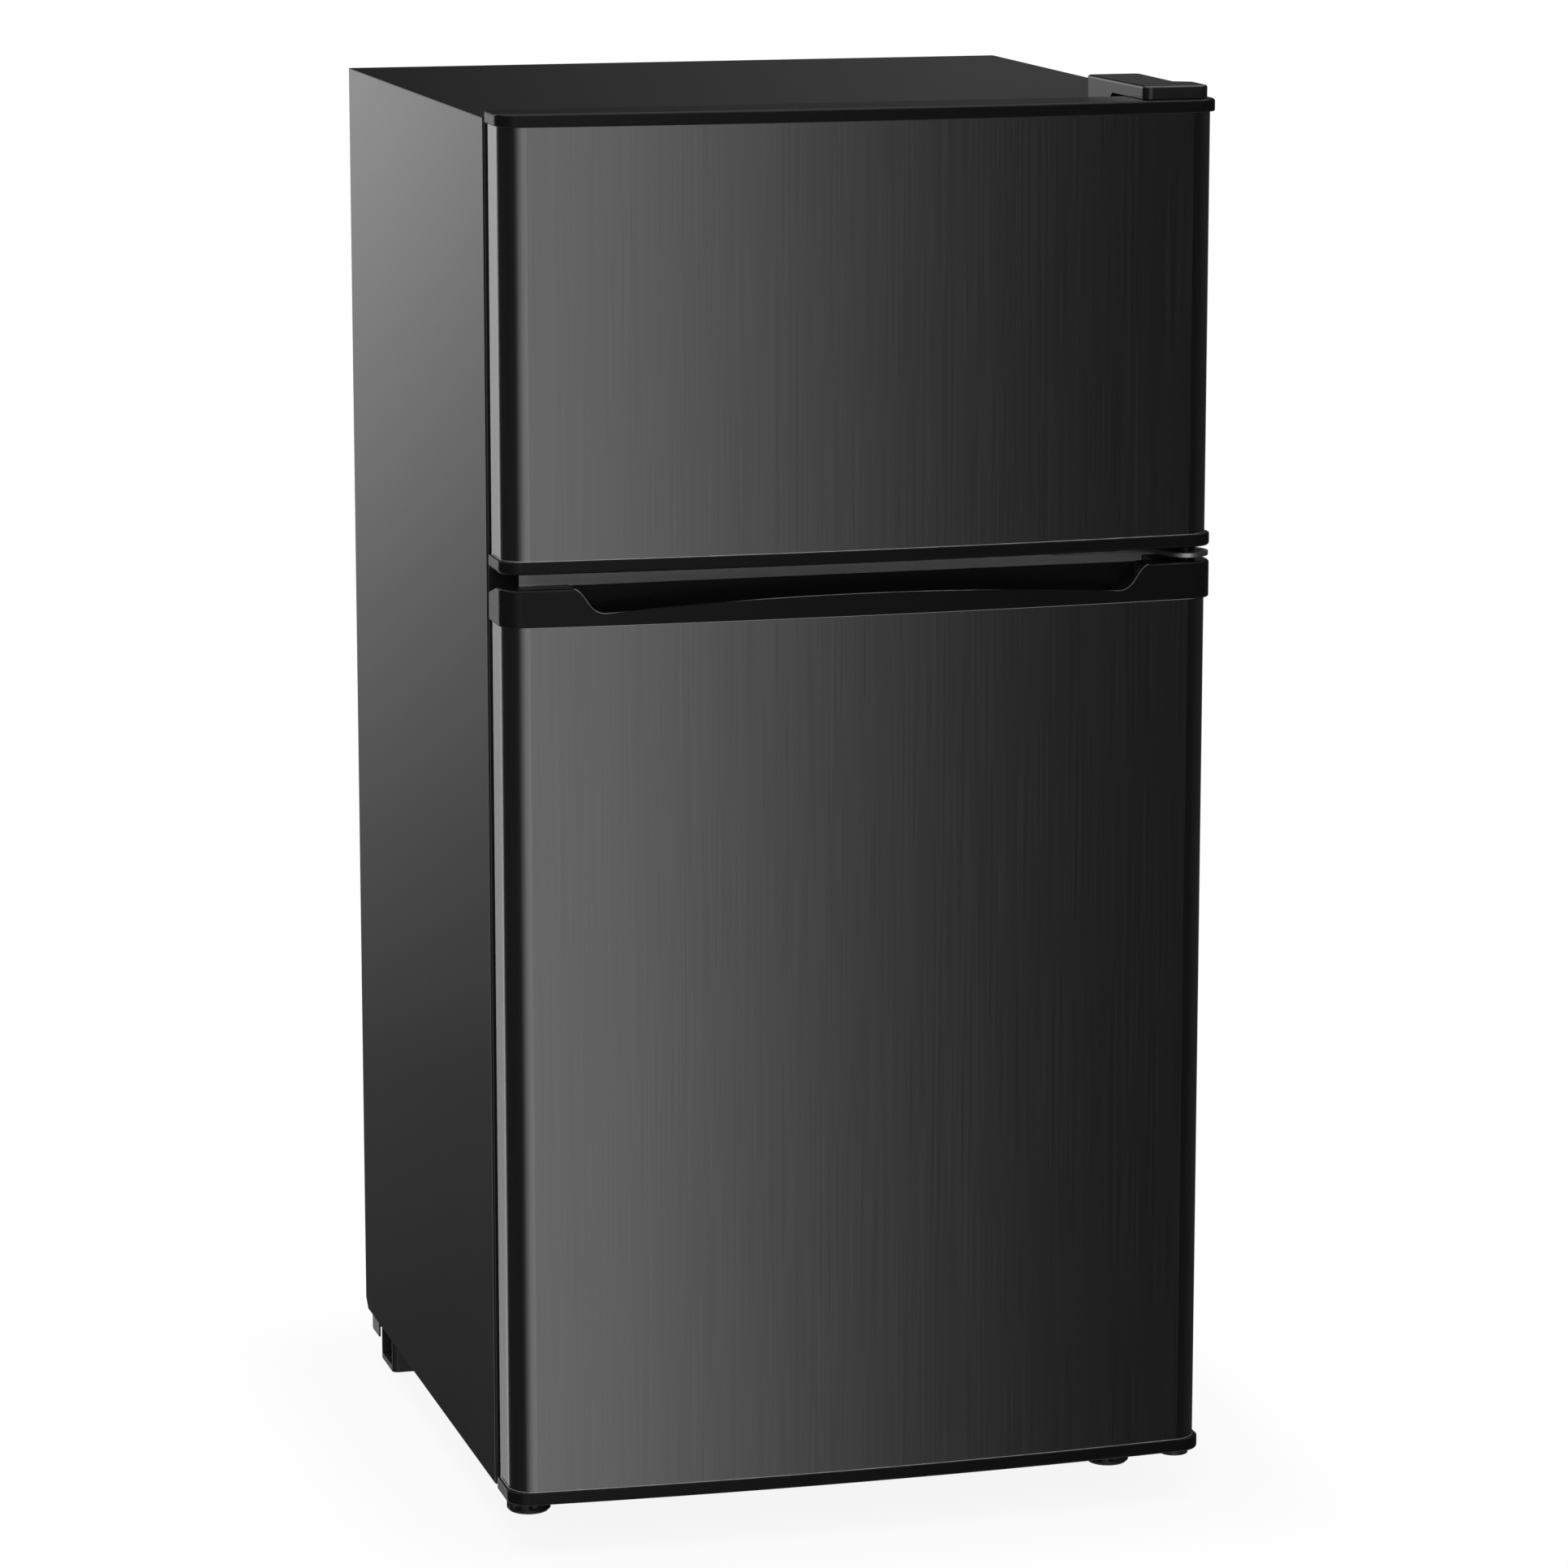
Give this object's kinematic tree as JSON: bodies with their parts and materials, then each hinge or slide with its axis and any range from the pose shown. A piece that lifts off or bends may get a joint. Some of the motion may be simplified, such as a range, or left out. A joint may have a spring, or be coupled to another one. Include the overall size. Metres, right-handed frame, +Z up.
{
  "type": "mini fridge",
  "caption": "Free-standing compact fridge with a freezer door above a fridge door, bowed steel fronts, a moulded finger scoop and right-hand hinges.",
  "frame": {"origin": "middle of the footprint on the floor under the feet", "axes": "+Z up, the doors face -Y, +X to the right when facing the doors"},
  "size_m": [0.445, 0.467, 0.8872],
  "materials": {
    "cabinet_paint": "satin black paint",
    "back_steel": "matt dark grey coated steel",
    "door_steel": "black stainless with a vertical brush",
    "cap_plastic": "satin black moulding",
    "foam": "rigid foam",
    "white_liner": "white vacuum-formed sheet",
    "rail_paint": "light grey paint",
    "plain_aluminium": "mill finish",
    "galvanised": "zinc plated",
    "copper": "drawn copper",
    "compressor_paint": "gloss black paint",
    "black_rubber": "matt",
    "black_plastic": "fine grain",
    "hinge_steel": "black paint",
    "bright_steel": "polished",
    "white_plastic": "white moulding",
    "lamp_lens": "frosted",
    "white_wire": "plastic coated wire",
    "shelf_glass": "clear",
    "clear_plastic": "clear moulding"
  },
  "bodies": {
    "cabinet": {"left_side_panel": "cabinet_paint", "right_side_panel": "cabinet_paint", "top_panel": "cabinet_paint", "back_panel": "back_steel", "bottom_panel": "back_steel", "compressor_bay_panel": "back_steel", "insulation_foam": "foam", "freezer_liner": "white_liner", "fridge_liner": "white_liner", "mullion_rail": "rail_paint", "freezer_evaporator": "plain_aluminium", "fridge_evaporator": "plain_aluminium", "condenser_coils": "galvanised", "compressor_tray": "galvanised", "middle_hinge_bracket": "galvanised", "filter_drier": "copper", "refrigerant_tubes": "copper", "compressor": "compressor_paint", "compressor_grommets": "black_rubber", "cord_gland": "black_rubber", "starter_relay_cover": "black_plastic", "drip_tray": "black_plastic", "rear_foot_left": "black_plastic", "rear_foot_right": "black_plastic", "top_hinge_cover": "cap_plastic", "top_hinge_bracket": "hinge_steel", "bottom_hinge_bracket": "hinge_steel", "top_hinge_pin": "bright_steel", "middle_hinge_pin": "bright_steel", "bottom_hinge_pin": "bright_steel", "hinge_screws": "bright_steel", "thermostat_housing": "white_plastic", "shelf_trims": "white_plastic", "lamp_cover": "lamp_lens", "freezer_shelf": "white_wire", "upper_glass_shelf": "shelf_glass", "lower_glass_shelf": "shelf_glass", "crisper_cover": "shelf_glass"},
    "freezer_door": {"freezer_door_foam": "foam", "freezer_door_liner": "white_liner", "freezer_door_gasket": "black_rubber", "freezer_door_top_cap": "cap_plastic", "freezer_door_bottom_cap": "cap_plastic", "freezer_door_bushes": "cap_plastic", "freezer_door_bin": "clear_plastic", "freezer_door_skin": "door_steel"},
    "fridge_door": {"fridge_door_foam": "foam", "fridge_door_liner": "white_liner", "fridge_door_gasket": "black_rubber", "fridge_door_handle_cap": "cap_plastic", "fridge_door_bottom_cap": "cap_plastic", "fridge_door_bushes": "cap_plastic", "fridge_door_upper_bin": "clear_plastic", "fridge_door_lower_bin": "clear_plastic", "fridge_door_skin": "door_steel"},
    "thermostat_knob": {"thermostat_knob": "white_plastic"},
    "crisper_drawer": {"crisper_drawer": "clear_plastic"},
    "front_foot_left": {"front_foot_left": "black_plastic"},
    "front_foot_right": {"front_foot_right": "black_plastic"}
  },
  "joints": [
    {"name": "freezer_door_hinge", "type": "hinge", "parent": "cabinet", "child": "freezer_door", "pos_m": [0.208, -0.2125, 0], "axis": [0, 0, 1], "range_deg": [0, 120]},
    {"name": "fridge_door_hinge", "type": "hinge", "parent": "cabinet", "child": "fridge_door", "pos_m": [0.208, -0.2125, 0], "axis": [0, 0, 1], "range_deg": [0, 120]},
    {"name": "thermostat_knob_turn", "type": "hinge", "parent": "cabinet", "child": "thermostat_knob", "pos_m": [0.136, -0.0665, 0.552], "axis": [0, 1, 0], "range_deg": [0, 270]},
    {"name": "crisper_drawer_slide", "type": "slide", "parent": "cabinet", "child": "crisper_drawer", "axis": [0, -1, 0], "range_m": [0, 0.07]},
    {"name": "front_foot_left_turn", "type": "hinge", "parent": "cabinet", "child": "front_foot_left", "pos_m": [-0.1905, -0.133, 0], "axis": [0, 0, -1], "range_deg": [0, 2400]},
    {"name": "front_foot_right_turn", "type": "hinge", "parent": "cabinet", "child": "front_foot_right", "pos_m": [0.1905, -0.133, 0], "axis": [0, 0, -1], "range_deg": [0, 2400]}
  ]
}
